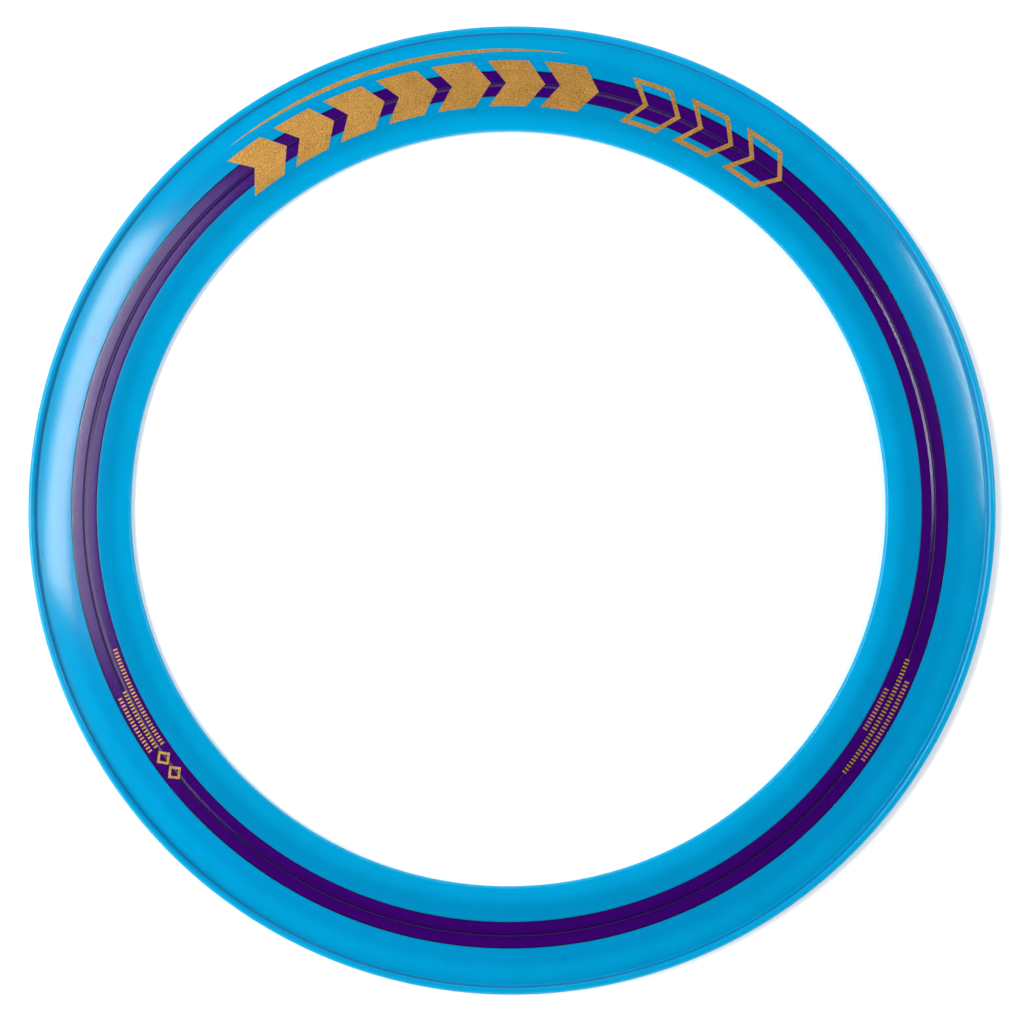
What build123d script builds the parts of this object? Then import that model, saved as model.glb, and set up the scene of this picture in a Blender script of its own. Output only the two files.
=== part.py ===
"""Flying ring: a stiff core ring between two soft overmoulded rims, with foil artwork stamped on top.

Units are millimetres. +Z is up, the ring rests on Z = 0 and it spins about the Z axis.
Every moulding is a revolved section, drawn in the XZ plane as (radius, height).
"""

import os
from math import cos, radians, sin, sqrt

from build123d import *

# Whole ring
outer_radius = 165.0  # a 13 inch ring
inner_radius = 129.0
crown_radius = 141.5  # where the upper surface is highest
crown_height = 3.7

# Inner edge, a round nose
nose_top_radius = 129.83
nose_top_height = 2.1
nose_tip_height = 1.0
nose_foot_radius = 130.0

# Outer edge: the upper surface falls to a valley, then rises to the lip
valley_radius = 161.5
valley_height = 1.95
lip_foot = (162.12, 2.24)
lip_shoulder = (162.42, 2.76)
edge_top_height = 2.0
edge_bottom_height = 1.1
edge_foot_radius = 163.9

# Core: an exposed band, with a tongue on each side that lies inside a rim
band_inner_radius = 140.3
band_outer_radius = 149.2
band_recess = 0.25  # how far the band's underside stands above the rims' undersides
band_chamfer = 0.12
tongue_reach = 6.6
tongue_bottom = 1.05
tongue_top = 2.2
tongue_round = 0.35

# Step groove around the middle of the band
groove_radii = (145.05, 144.9, 144.5, 143.6)  # outer lip, wall foot, floor end, inner lip
groove_depth = 0.22

# Locking holes through the tongues, which the rims' rubber fills
lock_count = 48
lock_pitch = 360 / lock_count
lock_hole_radius = 1.5
inner_lock_circle = band_inner_radius - tongue_reach / 2
outer_lock_circle = band_outer_radius + tongue_reach / 2

# Holes left under each rim by the three pins that hold the core in the mould
pin_count = 3
pin_radius = 1.1
inner_pin_circle = 135.9
inner_pin_angle = 94.5  # degrees from +X, counter-clockwise
outer_pin_circle = 153.6
outer_pin_angle = 37.8

# Ejector marks on the band's underside
ejector_count = 12
ejector_radius = 2.0
ejector_depth = 0.12
ejector_circle = (band_inner_radius + band_outer_radius) / 2

# Foil artwork: bold chevrons, open chevrons, a stripe, and rows of small marks
foil_thickness = 0.05
foil_floor = 2.3  # below every stamped surface and above every underside
art_inner_radius = 137.0
art_outer_radius = 152.9

bold_groups = {"left": (0, 1), "middle": (2, 3), "right": (4, 5, 6)}  # numbered from the left
bold_first_angle = 128.6  # the chevrons run clockwise, so their angles fall
bold_pitch = 7.35
bold_width = 5.3
bold_lean = 2.4

open_count = 3
open_first_angle = 73.0
open_pitch = 8.0
open_width = 5.4
open_lean = 2.4
open_stroke = 1.5

stripe_angles = (127.5, 81.5)
stripe_radius = 156.6
stripe_half_width = 0.85

mark_height = 1.5
mark_width = 0.6
mark_pitch = 0.5  # degrees
mark_row_radii = (147.3, 144.75, 142.2)
right_rows = ((-29.4, 24), (-29.4, 35), (-28.6, 13))  # centre angle and count, row by row
left_rows = ((-149.2, 17), (-149.5, 18), (-152.4, 30))

diamond_angles = (-140.9, -143.4)
diamond_circle = 144.75
diamond_radius = 2.9
diamond_hole_radius = 1.7


def polar(radius, degrees):
    """Point of the XY plane at a radius and an angle."""
    return (radius * cos(radians(degrees)), radius * sin(radians(degrees)))


def crown_height_at(radius):
    """Height of the upper surface outside the crown, where it is one arc down to the valley."""
    run = valley_radius - crown_radius
    fall = crown_height - valley_height
    arc_radius = (run**2 + fall**2) / (2 * fall)
    return crown_height - arc_radius + sqrt(arc_radius**2 - (radius - crown_radius) ** 2)


def ring_section():
    """Outline of the whole ring, as if it were one piece."""
    crown = (crown_radius, crown_height)
    nose_top = (nose_top_radius, nose_top_height)
    nose_tip = (inner_radius, nose_tip_height)
    nose_foot = (nose_foot_radius, 0)
    valley = (valley_radius, valley_height)
    edge_top = (outer_radius, edge_top_height)
    edge_bottom = (outer_radius, edge_bottom_height)
    edge_foot = (edge_foot_radius, 0)
    with BuildSketch() as outline:
        with BuildLine():
            inward = TangentArc(crown, nose_top, tangent=(-1, 0))
            nose = TangentArc(nose_top, nose_tip, tangent=inward % 1)
            TangentArc(nose_tip, nose_foot, tangent=nose % 1)
            outward = TangentArc(crown, valley, tangent=(1, 0))
            TangentArc(valley, lip_foot, tangent=outward % 1)
            wall = Line(lip_foot, lip_shoulder)
            TangentArc(lip_shoulder, edge_top, tangent=wall % 1)
            side = Line(edge_top, edge_bottom)
            TangentArc(edge_bottom, edge_foot, tangent=side % 1)
            Line(edge_foot, nose_foot)
        make_face()
    return outline.sketch


def between(low, high, floor=0.0):
    """Keeps the part of the open sketch between two radii and above a height."""
    with Locations(((low + high) / 2, floor)):
        Rectangle(high - low, crown_height + 1, align=(Align.CENTER, Align.MIN), mode=Mode.INTERSECT)


def finish(builder, label):
    """Names a finished piece and writes its STEP file."""
    builder.part.label = label
    export_step(builder.part, f"parts/{label}.step")


def core_ring():
    """Stiff ring: the exposed band, its step groove, and two tongues with locking holes."""
    with BuildPart() as core:
        with BuildSketch(Plane.XZ):
            add(whole_section)
            between(band_inner_radius, band_outer_radius, floor=band_recess)
        revolve(axis=Axis.Z)
        chamfer(core.edges().filter_by(GeomType.CIRCLE), length=band_chamfer)

        with BuildSketch(Plane.XZ):
            with BuildLine():
                outer_lip, wall_foot, floor_end, inner_lip = groove_radii
                Polyline(
                    (outer_lip, crown_height_at(outer_lip) + groove_depth),
                    (outer_lip, crown_height_at(outer_lip)),
                    (wall_foot, crown_height_at(wall_foot) - groove_depth),
                    (floor_end, crown_height_at(floor_end) - groove_depth),
                    (inner_lip, crown_height_at(inner_lip)),
                    (inner_lip, crown_height_at(inner_lip) + groove_depth),
                    close=True,
                )
            make_face()
        revolve(axis=Axis.Z, mode=Mode.SUBTRACT)

        with BuildSketch(Plane.XZ):
            with Locations(((band_inner_radius + band_outer_radius) / 2, tongue_bottom)):
                RectangleRounded(
                    band_outer_radius - band_inner_radius + 2 * tongue_reach,
                    tongue_top - tongue_bottom,
                    tongue_round,
                    align=(Align.CENTER, Align.MIN),
                )
        revolve(axis=Axis.Z)

        for circle, pin_angle in (
            (inner_lock_circle, inner_pin_angle),
            (outer_lock_circle, outer_pin_angle),
        ):
            with BuildSketch(Plane.XY.offset(tongue_bottom)):
                with PolarLocations(circle, lock_count, start_angle=pin_angle + lock_pitch / 2):
                    Circle(lock_hole_radius)
            extrude(amount=tongue_top - tongue_bottom, mode=Mode.SUBTRACT)

        with BuildSketch(Plane.XY.offset(band_recess)):
            with PolarLocations(ejector_circle, ejector_count):
                Circle(ejector_radius)
        extrude(amount=ejector_depth, mode=Mode.SUBTRACT)
    return core


def rim(low, high, core, pin_circle, pin_angle):
    """Soft rim moulded round one tongue of the core, so its rubber fills the locking holes."""
    with BuildPart() as moulding:
        with BuildSketch(Plane.XZ):
            add(whole_section)
            between(low, high)
        revolve(axis=Axis.Z)
        with BuildSketch(Plane.XY):
            with PolarLocations(pin_circle, pin_count, start_angle=pin_angle):
                Circle(pin_radius)
        extrude(amount=tongue_bottom, mode=Mode.SUBTRACT)
        add(core.part, mode=Mode.SUBTRACT)
    return moulding


def foil_film(mouldings):
    """Thin film over the upper surface that fills the groove and the seams under it."""
    with BuildPart() as film:
        with BuildSketch(Plane.XZ):
            with Locations((0, foil_thickness)):
                add(whole_section)
            between(inner_lock_circle, valley_radius, floor=foil_floor)
        revolve(axis=Axis.Z)
        for moulding in mouldings:
            add(moulding.part, mode=Mode.SUBTRACT)
    return film


def stamp(artwork, film):
    """Cuts a flat artwork sketch out of the film."""
    with BuildPart() as foil:
        with BuildSketch(Plane.XY.offset(foil_floor)):
            add(artwork)
        extrude(amount=crown_height)
        add(film.part, mode=Mode.INTERSECT)
    return foil


def chevron(angle, width, lean):
    """Face of one chevron that points clockwise, with concentric inner and outer edges."""
    middle = (art_inner_radius + art_outer_radius) / 2
    with BuildSketch() as face:
        with BuildLine():
            for radius in (art_outer_radius, art_inner_radius):
                ThreePointArc(*(polar(radius, angle - share * width) for share in (0, 0.5, 1)))
            for start in (angle, angle - width):
                Polyline(
                    polar(art_outer_radius, start),
                    polar(middle, start - lean),
                    polar(art_inner_radius, start),
                )
        make_face()
    return face.sketch


def bold_chevrons(numbers):
    with BuildSketch() as artwork:
        for i in numbers:
            add(chevron(bold_first_angle - i * bold_pitch, bold_width, bold_lean))
    return artwork.sketch


def open_chevrons():
    with BuildSketch() as artwork:
        for i in range(open_count):
            solid = chevron(open_first_angle - i * open_pitch, open_width, open_lean)
            add(solid)
            offset(solid, amount=-open_stroke, kind=Kind.INTERSECTION, mode=Mode.SUBTRACT)
    return artwork.sketch


def stripe():
    """Crescent that tapers to a point at both ends."""
    start, end = stripe_angles
    middle = (start + end) / 2
    with BuildSketch() as artwork:
        with BuildLine():
            for side in (-stripe_half_width, stripe_half_width):
                ThreePointArc(
                    polar(stripe_radius, start),
                    polar(stripe_radius + side, middle),
                    polar(stripe_radius, end),
                )
        make_face()
    return artwork.sketch


def mark_rows(rows):
    """Concentric rows of small upright marks."""
    with BuildSketch() as artwork:
        for radius, (centre_angle, count) in zip(mark_row_radii, rows):
            first_angle = centre_angle - (count - 1) / 2 * mark_pitch
            with PolarLocations(radius, count, first_angle, count * mark_pitch):
                Rectangle(mark_height, mark_width)
    return artwork.sketch


def diamonds():
    with BuildSketch() as artwork:
        for angle in diamond_angles:
            with PolarLocations(diamond_circle, 1, start_angle=angle):
                RegularPolygon(diamond_radius, side_count=4)
                RegularPolygon(diamond_hole_radius, side_count=4, mode=Mode.SUBTRACT)
    return artwork.sketch


os.makedirs("parts", exist_ok=True)
whole_section = ring_section()

core = core_ring()
inner_rim = rim(inner_radius - 1, band_inner_radius, core, inner_pin_circle, inner_pin_angle)
outer_rim = rim(band_outer_radius, outer_radius + 1, core, outer_pin_circle, outer_pin_angle)
film = foil_film((core, inner_rim, outer_rim))

finish(core, "core_ring")
finish(inner_rim, "inner_rim")
finish(outer_rim, "outer_rim")
for side, numbers in bold_groups.items():
    finish(stamp(bold_chevrons(numbers), film), f"foil_bold_chevrons_{side}")
finish(stamp(open_chevrons(), film), "foil_open_chevrons")
finish(stamp(stripe(), film), "foil_stripe")
finish(stamp(diamonds(), film), "foil_diamonds")
finish(stamp(mark_rows(left_rows), film), "foil_left_marks")
finish(stamp(mark_rows(right_rows), film), "foil_right_marks")
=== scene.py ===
"""Looks of the flying ring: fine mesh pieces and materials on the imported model's frame.

Scene units are metres. Lengths below are millimetres, turned to metres where a mesh is made,
and the stage, lights and camera are placed in metres. +Z is up, the ring rests on Z = 0 and
spins about Z. Angles are degrees from +X, counter-clockwise.
"""

import bpy
import numpy as np
from mathutils import Matrix, Vector


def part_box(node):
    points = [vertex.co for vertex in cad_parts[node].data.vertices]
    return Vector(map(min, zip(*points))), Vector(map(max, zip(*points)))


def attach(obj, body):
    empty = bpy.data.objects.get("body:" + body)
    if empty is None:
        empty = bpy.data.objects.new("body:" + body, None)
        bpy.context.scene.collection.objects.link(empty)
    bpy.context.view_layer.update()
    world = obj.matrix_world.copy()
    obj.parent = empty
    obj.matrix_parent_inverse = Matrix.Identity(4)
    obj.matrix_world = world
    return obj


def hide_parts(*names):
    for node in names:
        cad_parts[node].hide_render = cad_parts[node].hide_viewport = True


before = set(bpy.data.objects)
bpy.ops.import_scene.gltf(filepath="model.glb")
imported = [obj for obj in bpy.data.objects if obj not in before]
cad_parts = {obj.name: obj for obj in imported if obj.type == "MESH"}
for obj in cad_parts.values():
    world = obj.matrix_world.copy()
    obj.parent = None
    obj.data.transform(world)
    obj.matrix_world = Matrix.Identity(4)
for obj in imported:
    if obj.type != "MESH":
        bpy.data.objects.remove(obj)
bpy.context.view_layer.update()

MM = 0.001
BODY = "root"
TURN_STEPS = 960  # faces round each moulding
SHARP_EDGE = 35  # degrees between faces, above which an edge is shaded sharp

# Section of the ring, as (radius, height)
OUTER_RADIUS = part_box("outer_rim")[1].x / MM
CROWN = (141.5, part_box("core_ring")[1].z / MM)
NOSE_TOP = (129.83, 2.1)
NOSE_TIP = (129.0, 1.0)
NOSE_FOOT = (130.0, 0.0)
VALLEY = (161.5, 1.95)
LIP_FOOT = (162.12, 2.24)
LIP_SHOULDER = (162.42, 2.76)
EDGE_TOP = (OUTER_RADIUS, 2.0)
EDGE_BOTTOM = (OUTER_RADIUS, 1.1)
EDGE_FOOT = (163.9, 0.0)
RUBBER_ROUND = 0.16
FACE_STEPS = 400  # points along each half of the top face, which heights are read from
RIM_TOP_STEPS = 26  # points across each rim's top
RIM_TOP_START = 0.35  # from a seam to where its rim's top is plain

# Core: exposed band, step groove and the tongues inside the rims
BAND = (140.3, 149.2)
BAND_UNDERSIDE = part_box("core_ring")[0].z / MM
BAND_ROUND = 0.14
TONGUE_REACH = 6.6
TONGUE_HEIGHTS = (1.05, 2.2)
TONGUE_ROUND = 0.35
GROOVE_INNER_LIP = 143.6
GROOVE_FLOOR = (144.5, 144.9)
GROOVE_OUTER_LIP = 145.05
GROOVE_DEPTH = 0.22
GROOVE_ROUNDS = (0.25, 0.15, 0.04, 0.05)  # from the inner lip to the outer one
GROOVE_SIDE = 0.5  # top face kept beside each lip of the groove
BAND_TOP_START = 0.3  # from a seam to where the band's top is plain

# Marks over the mould's pins
PIN_COUNT = 3
INNER_PINS = (135.9, 94.5)  # circle radius and first angle
OUTER_PINS = (153.6, 37.8)
PIN_MARK_RADII = (0.4, 2.2)  # full strength inside the first, none outside the second
PIN_MARK_STRENGTH = 0.1

# Foil artwork. Widths, leans and pitches along the ring are in degrees.
FOIL_THICKNESS = 0.05
FOIL_SINK = 0.03  # how far each foil's hidden side goes into the moulding
ART_INNER = 137.0
ART_OUTER = 152.9
ART_MIDDLE = (ART_INNER + ART_OUTER) / 2
LEAN = 2.4  # how far a chevron's point runs ahead of its ends
ROW_STEPS = 12  # points along each straight edge of a chevron
BOLD_FIRST = 128.6
BOLD_PITCH = 7.35
BOLD_WIDTH = 5.3
BOLD_GROUPS = {"left": (0, 1), "middle": (2, 3), "right": (4, 5, 6)}
OPEN_FIRST = 73.0
OPEN_PITCH = 8.0
OPEN_WIDTH = 5.4
OPEN_COUNT = 3
OPEN_STROKE = 1.5
STRIPE_ENDS = (127.5, 81.5)
STRIPE_RADIUS = 156.6
STRIPE_HALF_WIDTH = 0.85
STRIPE_CUT = 0.998  # share of the crescent that is kept, so that its tips aren't points
MARK_SIZE = (1.5, 0.6)
MARK_PITCH = 0.5
MARK_ROWS = (147.3, 144.75, 142.2)
RIGHT_MARKS = ((-29.4, 24), (-29.4, 35), (-28.6, 13))  # middle angle and count of each row
LEFT_MARKS = ((-149.2, 17), (-149.5, 18), (-152.4, 30))
DIAMOND_ANGLES = (-140.9, -143.4)
DIAMOND_CIRCLE = 144.75
DIAMOND_RADII = (1.7, 2.9)

# Colours, as linear RGB
PURPLE = (0.031, 0.0004, 0.118)
PURPLE_WARM = (0.036, 0.0004, 0.130)
# painted shade in the step groove
PURPLE_GROOVE_SHADE = (0.020, 0.0003, 0.075)
# painted shade at the band's edges, in the seams beside the rubber
PURPLE_EDGE_SHADE = (0.004, 0.0003, 0.018)
GOLD = (0.446, 0.228, 0.044)
CYAN = (0.0, 0.303, 0.580)
CYAN_EDGE = (0.0, 0.320, 0.600)
CYAN_LIP = (0.0, 0.350, 0.640)
CYAN_OVER_TONGUE = (0.0, 0.258, 0.526)
CYAN_DEEP = (0.0, 0.240, 0.478)
# painted shade in the V-shaped seams between the rubber and the core
CYAN_SEAM_SHADE = (0.0, 0.150, 0.330)
# painted shade at the foot of the lip's inner wall, where the valley meets the lip
CYAN_LIP_FOOT_SHADE = (0.0, 0.185, 0.420)
WHITE = (1.0, 1.0, 1.0, 1.0)

# Colours and factors by radius
OUTER_STOPS = (
    # painted shade in the seam beside the band
    (149.2, CYAN_SEAM_SHADE),
    (149.55, CYAN_OVER_TONGUE),
    (153.5, CYAN_OVER_TONGUE),
    (156.6, CYAN),
    (161.85, CYAN),
    # painted shade at the foot of the lip's inner wall
    (162.1, CYAN_LIP_FOOT_SHADE),
    (162.4, CYAN_LIP_FOOT_SHADE),
    (162.75, CYAN),
    (163.6, CYAN_LIP),
    (165.0, CYAN_LIP),
)
INNER_STOPS = (
    (129.0, CYAN_LIP),
    (130.0, CYAN_EDGE),
    (132.4, CYAN),
    (135.8, CYAN_DEEP),
    (139.9, CYAN_DEEP),
    # painted shade in the seam beside the band
    (140.3, CYAN_SEAM_SHADE),
)
BAND_STOPS = (
    # painted shade at the band's inner edge, in the seam beside the rubber
    (140.3, PURPLE_EDGE_SHADE),
    (140.65, PURPLE_WARM),
    (143.4, PURPLE),
    # painted shade in the step groove
    (144.4, PURPLE_GROOVE_SHADE),
    (145.15, PURPLE_GROOVE_SHADE),
    (145.5, PURPLE),
    (148.6, PURPLE_WARM),
    # painted shade at the band's outer edge, in the seam beside the rubber
    (148.95, PURPLE_EDGE_SHADE),
    (149.2, PURPLE_EDGE_SHADE),
)
OUTER_GRAIN = ((149.2, 1.0), (161.0, 1.0), (161.8, 0.15), (165.0, 0.15))
INNER_GRAIN = ((129.0, 0.3), (140.3, 0.3))
# painted shade on the foil where it crosses the seams between the band and the rims
FOIL_SEAM_SHADE = (
    (136.0, 1.0),
    (140.1, 1.0),
    (140.3, 0.86),
    (140.5, 1.0),
    (149.0, 1.0),
    (149.2, 0.8),
    (149.4, 1.0),
    (158.0, 1.0),
)

# Surfaces. A grain is a bump's depth, and roughness is given from smooth to rough.
OUTER_GRAIN_DEPTH = 0.018
OUTER_ROUGHNESS = (0.105, 0.14)
INNER_GRAIN_DEPTH = 0.01
INNER_ROUGHNESS = (0.14, 0.18)
RUBBER_SPECULAR = 0.2
RUBBER_SCATTER = 0.12
SCATTER_COLOUR = (0.1, 0.8, 1.0)
SCATTER_DEPTH = 1.2
BAND_GRAIN_DEPTH = 0.03
BAND_ROUGHNESS = (0.13, 0.18)
BAND_SPECULAR = 0.35
FOIL_GRAIN_DEPTH = 0.08
FOIL_ROUGHNESS = (0.42, 0.52)
FOIL_METALLIC = 0.55
FLOOR_GREY = (0.9, 0.92)
FLOOR_ROUGHNESS = 0.9
FLOOR_GLOW = 0.2
NOISE_RANGE = (0.3, 0.7)  # most of a noise's values lie between these

# Stage, lights and camera, in metres and watts
FLOOR_HALF = 3.0
FLOOR_HEIGHT = -0.0002
SOFTBOXES = {  # place, size along the ring and across it, power
    "softbox_left": ((-0.8, 0.2, 1.0), (0.69, 0.19), 8.5),
    "softbox_left_wing": ((-0.54, 0.143, 1.0), (0.66, 0.13), 1.2),
    "softbox_right": ((0.905, 0.305, 1.0), (0.55, 0.13), 5.2),
    "fill_left": ((-0.75, -0.2, 0.45), (0.8, 0.3), 3.0),
    "fill_back": ((0.05, 0.85, 0.5), (0.8, 0.3), 1.5),
}
SKY_LEVELS = (1.0, 0.02)  # low down and overhead
SKY_FADE = (0.45, 0.62)  # heights of the unit direction between which the level falls
SKY_FRONT_BACK = (1.55, 0.75)  # strength at -Y and at +Y
SKY_TURN = 0.7
CAMERA_PLACE = (0.02475, -0.012, 0.4492)
CAMERA_SENSOR = 36
CAMERA_LENS = 46.2
CAMERA_SHIFT = (0.0092, -0.0059)
CAMERA_CLIP = 0.01


# Section outlines


def tangent_arc(start, end, direction, steps):
    """Points of the arc from start to end that sets out along direction, and its last direction."""
    start, end = np.array(start, float), np.array(end, float)
    ahead = np.array(direction, float) / np.hypot(*direction)
    chord = end - start
    side = np.array((-ahead[1], ahead[0]))
    side *= np.sign(chord @ side)
    half_turn = np.arctan2(chord @ side, chord @ ahead)
    radius = np.hypot(*chord) / (2 * np.sin(half_turn))
    turns = np.linspace(0, 2 * half_turn, steps + 1)[:, None]
    points = start + radius * (np.sin(turns) * ahead + (1 - np.cos(turns)) * side)
    last = np.cos(2 * half_turn) * ahead + np.sin(2 * half_turn) * side
    return points, last


def rounded(points, radii, steps=4):
    """Polyline with its corners rounded, where radii gives each inner point's radius."""
    points = [np.array(p, float) for p in points]
    out = [points[0]]
    for before, corner, after, radius in zip(points, points[1:], points[2:], radii):
        back = (before - corner) / np.hypot(*(before - corner))
        on = (after - corner) / np.hypot(*(after - corner))
        half_angle = np.arccos(np.clip(back @ on, -1, 1)) / 2
        reach = radius / np.tan(half_angle)
        out += list(tangent_arc(corner + reach * back, corner + reach * on, -back, steps)[0])
    return np.array(out + [points[-1]])


crown_in, nose_heading = tangent_arc(CROWN, NOSE_TOP, (-1, 0), FACE_STEPS)
nose_upper, nose_low_heading = tangent_arc(NOSE_TOP, NOSE_TIP, nose_heading, 8)
nose_lower, _ = tangent_arc(NOSE_TIP, NOSE_FOOT, nose_low_heading, 6)
crown_out, valley_heading = tangent_arc(CROWN, VALLEY, (1, 0), FACE_STEPS)
valley_fillet, _ = tangent_arc(VALLEY, LIP_FOOT, valley_heading, 6)
lip, _ = tangent_arc(LIP_SHOULDER, EDGE_TOP, np.subtract(LIP_SHOULDER, LIP_FOOT), 16)
edge_foot, _ = tangent_arc(EDGE_BOTTOM, EDGE_FOOT, (0, -1), 7)
face_line = np.vstack((crown_in[::-1], crown_out[1:]))


def top_height(radius):
    """Height of the top face, from the nose to the valley."""
    return np.interp(radius, face_line[:, 0], face_line[:, 1])


def on_top(radius, lower=0.0):
    """Section point on the top face, or below it."""
    return radius, top_height(radius) - lower


def top_points(start, end, steps):
    """Points of the top face from one radius to another."""
    radii = np.linspace(start, end, steps + 1)
    return np.column_stack((radii, top_height(radii)))


def tongue(seam, tip):
    """Outline of a tongue from its root's underside round its tip to its root's top."""
    low, high = TONGUE_HEIGHTS
    corners = ((seam, low), (tip, low), (tip, high), (seam, high))
    return rounded(corners, (TONGUE_ROUND, TONGUE_ROUND))


def rim_section(seam, away, top_end, side, foot):
    """Closed outline of a rim, with the slot that the core's tongue fills.

    away is -1 for the inner rim and 1 for the outer one. The plain top ends at the radius top_end,
    side goes on from there, and the flat underside begins at the radius foot.
    """
    low, high = TONGUE_HEIGHTS
    top_edge = rounded(((seam, high), on_top(seam), on_top(seam + away)), (RUBBER_ROUND,))[:-1]
    top = top_points(seam + away * RIM_TOP_START, top_end, RIM_TOP_STEPS)
    bottom = rounded(((foot, 0), (seam, 0), (seam, low)), (RUBBER_ROUND,))[:-1]
    slot = tongue(seam, seam + away * TONGUE_REACH)[:-1]
    return np.vstack((top_edge, top, side, bottom, slot))


def inner_rim_section():
    """Outline of the inner rim, with its nose."""
    nose = np.vstack((nose_upper, nose_lower[1:]))
    return rim_section(BAND[0], -1, NOSE_TOP[0] + 0.1, nose, NOSE_FOOT[0] + 0.2)


def outer_rim_section():
    """Outline of the outer rim, with its valley and lip."""
    edge = np.vstack((valley_fillet, lip, edge_foot))
    return rim_section(BAND[1], 1, VALLEY[0] - 0.3, edge, EDGE_FOOT[0] - 0.2)


def core_section():
    """Closed outline of the core: the band with its groove, and both tongues."""
    inner, outer = BAND
    low, high = TONGUE_HEIGHTS
    groove_line = (
        on_top(GROOVE_INNER_LIP - GROOVE_SIDE),
        on_top(GROOVE_INNER_LIP),
        on_top(GROOVE_FLOOR[0], GROOVE_DEPTH),
        on_top(GROOVE_FLOOR[1], GROOVE_DEPTH),
        on_top(GROOVE_OUTER_LIP),
        on_top(GROOVE_OUTER_LIP + GROOVE_SIDE),
    )
    inner_edge = rounded(((inner, high), on_top(inner), on_top(inner + 1)), (BAND_ROUND,))
    outer_edge = rounded((on_top(outer - 1), on_top(outer), (outer, high)), (BAND_ROUND,))
    below = ((outer, low), (outer, BAND_UNDERSIDE), (inner, BAND_UNDERSIDE), (inner, low))
    underside = rounded(below, (BAND_ROUND, BAND_ROUND))
    return np.vstack(
        (
            inner_edge[1:-1],
            top_points(inner + BAND_TOP_START, GROOVE_INNER_LIP - GROOVE_SIDE - 0.1, 7),
            rounded(groove_line, GROOVE_ROUNDS, steps=3),
            top_points(GROOVE_OUTER_LIP + GROOVE_SIDE + 0.1, outer - BAND_TOP_START, 9),
            outer_edge[1:-1],
            tongue(outer, outer + TONGUE_REACH)[::-1],
            underside[1:-1],
            tongue(inner, inner - TONGUE_REACH),
        )
    )


# Meshes


def make_object(name, vertices, faces, material, nodes, slot):
    """Adds a mesh piece, given in millimetres, that stands for CAD nodes."""
    mesh = bpy.data.meshes.new(name)
    mesh.from_pydata((np.asarray(vertices) * MM).tolist(), [], faces)
    mesh.validate()
    mesh.shade_smooth()
    mesh.set_sharp_from_angle(angle=np.radians(SHARP_EDGE))
    mesh.materials.append(material)
    piece = bpy.data.objects.new(name, mesh)
    bpy.context.scene.collection.objects.link(piece)
    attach(piece, BODY)
    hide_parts(*nodes)


def revolve(section):
    """Vertices and faces of a closed section turned once round Z."""
    area = np.cross(section, np.roll(section, -1, axis=0)).sum()
    if area < 0:
        section = section[::-1]
    turns = np.linspace(0, 2 * np.pi, TURN_STEPS, endpoint=False)
    count = len(section)
    vertices = np.empty((TURN_STEPS, count, 3))
    vertices[..., 0] = np.cos(turns)[:, None] * section[:, 0]
    vertices[..., 1] = np.sin(turns)[:, None] * section[:, 0]
    vertices[..., 2] = section[:, 1]
    faces = []
    for i in range(TURN_STEPS):
        here, there = i * count, (i + 1) % TURN_STEPS * count
        for j in range(count):
            k = (j + 1) % count
            faces.append((here + j, there + j, there + k, here + k))
    return vertices.reshape(-1, 3), faces


def foil_sheet(grid, closed=False):
    """Vertices and faces of a thin foil on the top face, from rows of XY points.

    A closed grid's rows run right round, as in a frame.
    """
    grid = np.asarray(grid, float)
    rows, columns = grid.shape[:2]
    a, b = grid[1, 0] - grid[0, 0], grid[0, 1] - grid[0, 0]
    if a[0] * b[1] - a[1] * b[0] < 0:
        grid = grid[::-1]
    height = top_height(np.hypot(grid[..., 0], grid[..., 1]))
    upper = np.dstack((grid, height + FOIL_THICKNESS)).reshape(-1, 3)
    lower = np.dstack((grid, height - FOIL_SINK)).reshape(-1, 3)
    under = rows * columns
    faces = []
    for j in range(columns if closed else columns - 1):
        k = (j + 1) % columns
        for i in range(rows - 1):
            quad = (i * columns + j, (i + 1) * columns + j, (i + 1) * columns + k, i * columns + k)
            faces += [quad, tuple(under + v for v in quad[::-1])]
        last = (rows - 1) * columns
        faces.append((k + under, j + under, j, k))
        faces.append((last + j + under, last + k + under, last + k, last + j))
    if not closed:
        end = columns - 1
        for i in range(rows - 1):
            here, below = i * columns, (i + 1) * columns
            faces.append((here + under, below + under, below, here))
            faces.append((below + end + under, here + end + under, here + end, below + end))
    return np.vstack((upper, lower)), faces


def merged(sheets):
    """Several vertex and face lists as one."""
    vertices, faces, offset = [], [], 0
    for points, quads in sheets:
        vertices.append(points)
        faces += [tuple(offset + v for v in quad) for quad in quads]
        offset += len(points)
    return np.vstack(vertices), faces


# Foil artwork


def polar(radius, degrees):
    """Point of the XY plane at a radius and an angle."""
    return radius * np.array((np.cos(np.radians(degrees)), np.sin(np.radians(degrees))))


def turned(points, degrees):
    """XY points turned about Z."""
    c, s = np.cos(np.radians(degrees)), np.sin(np.radians(degrees))
    return np.asarray(points) @ np.array(((c, s), (-s, c)))


def chevron_corners(angle):
    """Outer end, point and inner end of a chevron's edge."""
    return [polar(ART_OUTER, angle), polar(ART_MIDDLE, angle - LEAN), polar(ART_INNER, angle)]


def bold_chevron(angle):
    """Solid chevron whose trailing edge starts at an angle."""
    outer, point, inner = chevron_corners(angle)
    shares = np.linspace(0, 1, ROW_STEPS + 1)
    upper = outer + shares[:, None] * (point - outer)
    lower = point + shares[1:, None] * (inner - point)
    edge = np.vstack((upper, lower))
    return foil_sheet([turned(edge, -share * BOLD_WIDTH) for share in shares])


def crossing(p, q, r, s):
    """Where the line through p and q meets the line through r and s."""
    along = np.linalg.solve(np.column_stack((q - p, r - s)), r - p)
    return p + along[0] * (q - p)


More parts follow.
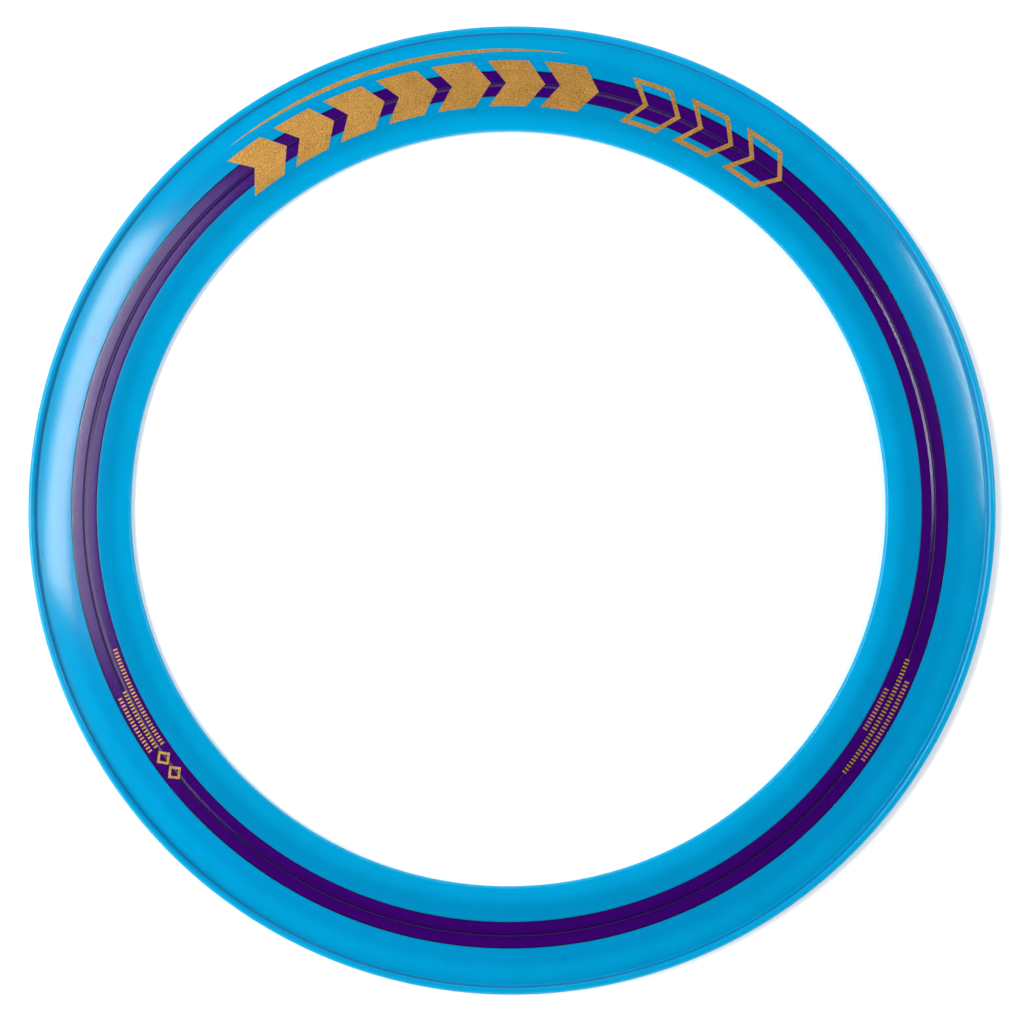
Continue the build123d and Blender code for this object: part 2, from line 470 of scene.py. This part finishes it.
def on_circle(p, q, radius, near):
    """Where the line through p and q meets a circle about Z, on the side of a point."""
    ahead = (q - p) / np.hypot(*(q - p))
    middle = p - (p @ ahead) * ahead
    reach = np.sqrt(radius**2 - middle @ middle)
    ends = (middle + reach * ahead, middle - reach * ahead)
    return min(ends, key=lambda e: np.hypot(*(e - near)))


def open_chevron(angle):
    """Chevron frame: rows that run round it from its outer outline to its inner one."""
    start_corners = chevron_corners(angle)
    end_corners = chevron_corners(angle - OPEN_WIDTH)[::-1]
    centre = polar(ART_MIDDLE, angle - OPEN_WIDTH / 2 - LEAN)
    ends = (ART_OUTER - OPEN_STROKE, ART_INNER + OPEN_STROKE)

    def moved(p, q):
        """An edge moved by the stroke's width into the chevron."""
        normal = np.array((p[1] - q[1], q[0] - p[0])) / np.hypot(*(q - p))
        normal *= np.sign((centre - p) @ normal) * OPEN_STROKE
        return p + normal, q + normal

    def inset(corners, first_radius, last_radius):
        """Corners of the hole beside one edge of the chevron."""
        first, point, last = corners
        upper, lower = moved(first, point), moved(point, last)
        return [
            on_circle(*upper, first_radius, first),
            crossing(*upper, *lower),
            on_circle(*lower, last_radius, last),
        ]

    def loop(corners):
        """Points round an outline, whose inner and outer ends follow circles."""
        points = []
        for k, (p, q) in enumerate(zip(corners, corners[1:] + corners[:1])):
            on_arc = k in (2, 5)
            for share in np.linspace(0, 1, ROW_STEPS, endpoint=False):
                straight = p + share * (q - p)
                stretch = np.hypot(*p) / np.hypot(*straight) if on_arc else 1
                points.append(straight * stretch)
        return np.array(points)

    outside = loop(start_corners + end_corners)
    inside = loop(inset(start_corners, *ends) + inset(end_corners, *ends[::-1]))
    rows = [outside + share * (inside - outside) for share in np.linspace(0, 1, 4)]
    return foil_sheet(rows, closed=True)


def stripe():
    """Crescent between two arcs that meet at its ends."""
    start, end = STRIPE_ENDS
    middle, half = (start + end) / 2, abs(end - start) / 2
    angles = np.linspace(-half * STRIPE_CUT, half * STRIPE_CUT, 241)
    sine, cosine = np.sin(np.radians(angles)), np.cos(np.radians(angles))
    edges = []
    for bulge in (-STRIPE_HALF_WIDTH, STRIPE_HALF_WIDTH):
        apex = STRIPE_RADIUS + bulge
        reach = apex - STRIPE_RADIUS * np.cos(np.radians(half))
        centre = (apex**2 - STRIPE_RADIUS**2) / (2 * reach)
        edges.append(centre * cosine + np.sqrt((apex - centre) ** 2 - (centre * sine) ** 2))
    rows = []
    for share in np.linspace(0, 1, 4):
        radii = edges[0] + share * (edges[1] - edges[0])
        rows.append([polar(r, middle + a) for r, a in zip(radii, angles)])
    return foil_sheet(rows)


def marks(rows):
    """Rows of small upright bars."""
    length, width = MARK_SIZE
    sheets = []
    for radius, (middle, count) in zip(MARK_ROWS, rows):
        radii = radius + np.linspace(-length / 2, length / 2, 5)
        bar = [[(r, side) for r in radii] for side in (-width / 2, 0, width / 2)]
        for i in range(count):
            angle = middle + (i - (count - 1) / 2) * MARK_PITCH
            sheets.append(foil_sheet([turned(row, angle) for row in bar]))
    return merged(sheets)


def diamond(angle):
    """Diamond frame on the band."""
    corners = [polar(1, a) for a in (0, 90, 180, 270)]
    loop = []
    for p, q in zip(corners, corners[1:] + corners[:1]):
        loop += [p + share * (q - p) for share in np.linspace(0, 1, 5, endpoint=False)]
    rows = [np.array(loop) * size + (DIAMOND_CIRCLE, 0) for size in np.linspace(*DIAMOND_RADII, 4)]
    return foil_sheet([turned(row, angle) for row in rows], closed=True)


# Materials


def new_material(name):
    """A material, its node tree and its shader."""
    material = bpy.data.materials.new(name)
    material.use_nodes = True
    return material, material.node_tree, material.node_tree.nodes["Principled BSDF"]


def put(tree, kind, inputs, output=0, **settings):
    """Adds a node, sets or links its inputs, and returns one of its outputs."""
    node = tree.nodes.new(kind)
    for key, value in settings.items():
        setattr(node, key, value)
    for key, value in inputs.items():
        if isinstance(value, bpy.types.NodeSocket):
            tree.links.new(value, node.inputs[key])
        else:
            node.inputs[key].default_value = value
    return node.outputs[output]


def math(tree, operation, a, b):
    """Two values put through a Math node."""
    return put(tree, "ShaderNodeMath", {0: a, 1: b}, operation=operation)


def flattened(tree, place):
    """A point moved to Z = 0."""
    return put(tree, "ShaderNodeVectorMath", {0: place, 1: (1, 1, 0)}, operation="MULTIPLY")


def place_and_radius(tree):
    """The point being shaded, in metres, and its distance from the Z axis."""
    place = put(tree, "ShaderNodeTexCoord", {}, "Object")
    flat = {0: flattened(tree, place)}
    return place, put(tree, "ShaderNodeVectorMath", flat, "Value", operation="LENGTH")


def noise(tree, place, feature, detail=2.0, roughness=0.55):
    """Noise with features of that size in millimetres."""
    inputs = {
        "Vector": place,
        "Scale": 1 / (feature * MM),
        "Detail": detail,
        "Roughness": roughness,
    }
    return put(tree, "ShaderNodeTexNoise", inputs, "Fac")


def spread(tree, value, low, high, source=NOISE_RANGE):
    """A value moved from one range to another, clamped."""
    inputs = {
        "Value": value,
        "From Min": source[0],
        "From Max": source[1],
        "To Min": low,
        "To Max": high,
    }
    return put(tree, "ShaderNodeMapRange", inputs)


def by_radius(tree, radius, stops):
    """Colour or grey that changes with the radius, from (radius, value) stops."""
    low, high = stops[0][0], stops[-1][0]
    share = spread(tree, radius, 0.0, 1.0, (low * MM, high * MM))
    node = tree.nodes.new("ShaderNodeValToRGB")
    tree.links.new(share, node.inputs[0])
    elements = node.color_ramp.elements
    while len(elements) < len(stops):
        elements.new(1.0)
    for element, (at, value) in zip(elements, stops):
        colour = value if isinstance(value, tuple) else (value, value, value)
        element.position = (at - low) / (high - low)
        element.color = (*colour, 1.0)
    return node.outputs["Color"]


def tinted(tree, colour, factor):
    """A colour times a grey factor."""
    grey = put(tree, "ShaderNodeCombineXYZ", {0: factor, 1: factor, 2: factor})
    return put(tree, "ShaderNodeVectorMath", {0: colour, 1: grey}, operation="MULTIPLY")


def bump(tree, shader, height, depth):
    """Gives a shader a relief: a height of about 0 to 1, times a depth in millimetres."""
    inputs = {"Height": height, "Strength": 1.0, "Distance": depth * MM}
    tree.links.new(put(tree, "ShaderNodeBump", inputs, "Normal"), shader.inputs["Normal"])


def pin_marks(tree, place, circle, first_angle):
    """1 everywhere but at the faint round marks over the mould's pins."""
    inner, outer = PIN_MARK_RADII
    total = None
    for i in range(PIN_COUNT):
        x, y = polar(circle * MM, first_angle + i * 360 / PIN_COUNT)
        ends = {0: flattened(tree, place), 1: (x, y, 0)}
        away = put(tree, "ShaderNodeVectorMath", ends, "Value", operation="DISTANCE")
        mark = spread(tree, away, 1 - PIN_MARK_STRENGTH, 1.0, (inner * MM, outer * MM))
        total = mark if total is None else math(tree, "MULTIPLY", total, mark)
    return total


def rubber(name, stops, grain_stops, pins, roughness, grain_depth):
    """Soft cyan rubber: darker over the core's tongue, with painted shade where its stops darken
    the seam and the lip's foot, and a fine moulded grain.
    """
    material, tree, shader = new_material(name)
    place, radius = place_and_radius(tree)
    cloud = spread(tree, noise(tree, place, 14.0, 3.0), 0.965, 1.035)
    fine = spread(tree, noise(tree, place, 0.55), 0.96, 1.04)
    shade = math(tree, "MULTIPLY", cloud, fine)
    shade = math(tree, "MULTIPLY", shade, pin_marks(tree, place, *pins))
    colour = tinted(tree, by_radius(tree, radius, stops), shade)
    tree.links.new(colour, shader.inputs["Base Color"])

    grain = noise(tree, place, 0.7, 2.5, 0.6)
    pores = noise(tree, place, 1.6, 2.0, 0.5)
    relief = math(
        tree, "ADD", math(tree, "MULTIPLY", grain, 0.7), math(tree, "MULTIPLY", pores, 0.5)
    )
    height = math(tree, "MULTIPLY", relief, by_radius(tree, radius, grain_stops))
    bump(tree, shader, height, grain_depth)
    tree.links.new(spread(tree, grain, *roughness), shader.inputs["Roughness"])
    shader.inputs["Specular IOR Level"].default_value = RUBBER_SPECULAR
    shader.inputs["Subsurface Weight"].default_value = RUBBER_SCATTER
    shader.inputs["Subsurface Radius"].default_value = SCATTER_COLOUR
    shader.inputs["Subsurface Scale"].default_value = SCATTER_DEPTH * MM
    return material


def core_plastic():
    """Deep purple polycarbonate with a satin grain, and painted shade at its edges and in its
    groove.
    """
    material, tree, shader = new_material("core_plastic")
    place, radius = place_and_radius(tree)
    streaks = spread(tree, noise(tree, place, 3.0, 4.0, 0.6), 0.9, 1.1)
    speckle = spread(tree, noise(tree, place, 0.4), 0.85, 1.15)
    shade = math(tree, "MULTIPLY", streaks, speckle)
    colour = tinted(tree, by_radius(tree, radius, BAND_STOPS), shade)
    tree.links.new(colour, shader.inputs["Base Color"])
    grain = noise(tree, place, 0.65, 3.0, 0.65)
    bump(tree, shader, grain, BAND_GRAIN_DEPTH)
    tree.links.new(spread(tree, grain, *BAND_ROUGHNESS), shader.inputs["Roughness"])
    shader.inputs["Specular IOR Level"].default_value = BAND_SPECULAR
    return material


def gold_foil():
    """Satin gold foil: fine sparkling speckle, and faint painted shade over the seams that lie
    under it.
    """
    material, tree, shader = new_material("gold_foil")
    place, radius = place_and_radius(tree)
    speckle = noise(tree, place, 0.45, 3.0, 0.7)
    cloud = noise(tree, place, 6.0)
    shade = math(
        tree, "MULTIPLY", spread(tree, speckle, 0.45, 1.6), spread(tree, cloud, 0.93, 1.07)
    )
    shade = math(tree, "MULTIPLY", shade, by_radius(tree, radius, FOIL_SEAM_SHADE))
    tree.links.new(tinted(tree, GOLD, shade), shader.inputs["Base Color"])
    bump(tree, shader, speckle, FOIL_GRAIN_DEPTH)
    tree.links.new(spread(tree, cloud, *FOIL_ROUGHNESS), shader.inputs["Roughness"])
    shader.inputs["Metallic"].default_value = FOIL_METALLIC
    return material


def floor_paper():
    """Pale studio paper that gives off a little light, with a barely visible tooth."""
    material, tree, shader = new_material("floor_paper")
    place = put(tree, "ShaderNodeTexCoord", {}, "Object")
    value = spread(tree, noise(tree, place, 25.0, 3.0), *FLOOR_GREY)
    grey = put(tree, "ShaderNodeCombineXYZ", {0: value, 1: value, 2: value})
    tree.links.new(grey, shader.inputs["Base Color"])
    shader.inputs["Roughness"].default_value = FLOOR_ROUGHNESS
    shader.inputs["Specular IOR Level"].default_value = 0.0
    shader.inputs["Emission Color"].default_value = WHITE
    shader.inputs["Emission Strength"].default_value = FLOOR_GLOW
    return material


outer_rubber = rubber(
    "outer_rim_rubber", OUTER_STOPS, OUTER_GRAIN, OUTER_PINS, OUTER_ROUGHNESS, OUTER_GRAIN_DEPTH
)
inner_rubber = rubber(
    "inner_rim_rubber", INNER_STOPS, INNER_GRAIN, INNER_PINS, INNER_ROUGHNESS, INNER_GRAIN_DEPTH
)
purple = core_plastic()
gold = gold_foil()


# Pieces

mouldings = {
    "core_ring": (core_section(), purple, "core_plastic"),
    "inner_rim": (inner_rim_section(), inner_rubber, "inner_rim_rubber"),
    "outer_rim": (outer_rim_section(), outer_rubber, "outer_rim_rubber"),
}
for node, (section, material, slot) in mouldings.items():
    make_object(f"{node}_fine", *revolve(section), material, [node], slot)

artwork = {
    "foil_open_chevrons": merged(
        [open_chevron(OPEN_FIRST - i * OPEN_PITCH) for i in range(OPEN_COUNT)]
    ),
    "foil_stripe": stripe(),
    "foil_diamonds": merged([diamond(angle) for angle in DIAMOND_ANGLES]),
    "foil_left_marks": marks(LEFT_MARKS),
    "foil_right_marks": marks(RIGHT_MARKS),
}
for side, numbers in BOLD_GROUPS.items():
    bold = [bold_chevron(BOLD_FIRST - i * BOLD_PITCH) for i in numbers]
    artwork[f"foil_bold_chevrons_{side}"] = merged(bold)
for node, (points, quads) in artwork.items():
    make_object(f"{node}_fine", points, quads, gold, [node], "gold_foil")


# Stage, light and camera


def add_floor(half, height):
    """Square of paper under the ring."""
    mesh = bpy.data.meshes.new("floor")
    corners = [(x * half, y * half, height) for x, y in ((-1, -1), (1, -1), (1, 1), (-1, 1))]
    mesh.from_pydata(corners, [], [(0, 1, 2, 3)])
    mesh.materials.append(floor_paper())
    floor = bpy.data.objects.new("floor", mesh)
    bpy.context.scene.collection.objects.link(floor)


def softbox(name, place, size, watts):
    """Rectangular studio light that faces the ring."""
    light = bpy.data.lights.new(name, "AREA")
    light.shape = "RECTANGLE"
    light.size, light.size_y = size
    light.energy = watts
    lamp = bpy.data.objects.new(name, light)
    lamp.location = place
    lamp.rotation_mode = "QUATERNION"
    lamp.rotation_quaternion = (-Vector(place)).to_track_quat("-Z", "Y")
    bpy.context.scene.collection.objects.link(lamp)


def light_the_sky():
    """Soft light from low all round, with a dark zenith so that the top face keeps its colour."""
    world = bpy.data.worlds.new("studio")
    world.use_nodes = True
    bpy.context.scene.world = world
    tree = world.node_tree
    direction = put(tree, "ShaderNodeTexCoord", {}, "Generated")
    up = put(tree, "ShaderNodeSeparateXYZ", {0: direction}, "Z")
    level = spread(tree, up, *SKY_LEVELS, SKY_FADE)
    back = put(tree, "ShaderNodeSeparateXYZ", {0: direction}, "Y")
    strength = spread(tree, back, *SKY_FRONT_BACK, (-SKY_TURN, SKY_TURN))
    background = tree.nodes["Background"]
    tree.links.new(math(tree, "MULTIPLY", level, strength), background.inputs["Strength"])
    background.inputs["Color"].default_value = WHITE


def add_camera(place, lens, shift):
    """Looks at the ring's centre from nearly straight above, with +Y up in the picture."""
    camera = bpy.data.cameras.new("camera")
    camera.sensor_width = CAMERA_SENSOR
    camera.lens = lens
    camera.shift_x, camera.shift_y = shift
    camera.clip_start = CAMERA_CLIP
    holder = bpy.data.objects.new("camera", camera)
    holder.location = place
    holder.rotation_mode = "QUATERNION"
    backward = Vector(place).normalized()
    side = Vector((0, 1, 0)).cross(backward).normalized()
    axes = Matrix((side, backward.cross(side), backward)).transposed()
    holder.rotation_quaternion = axes.to_quaternion()
    bpy.context.scene.collection.objects.link(holder)
    bpy.context.scene.camera = holder


bpy.context.scene.view_settings.view_transform = "Standard"
add_floor(FLOOR_HALF, FLOOR_HEIGHT)
light_the_sky()
for name, (place, size, watts) in SOFTBOXES.items():
    softbox(name, place, size, watts)
add_camera(CAMERA_PLACE, CAMERA_LENS, CAMERA_SHIFT)
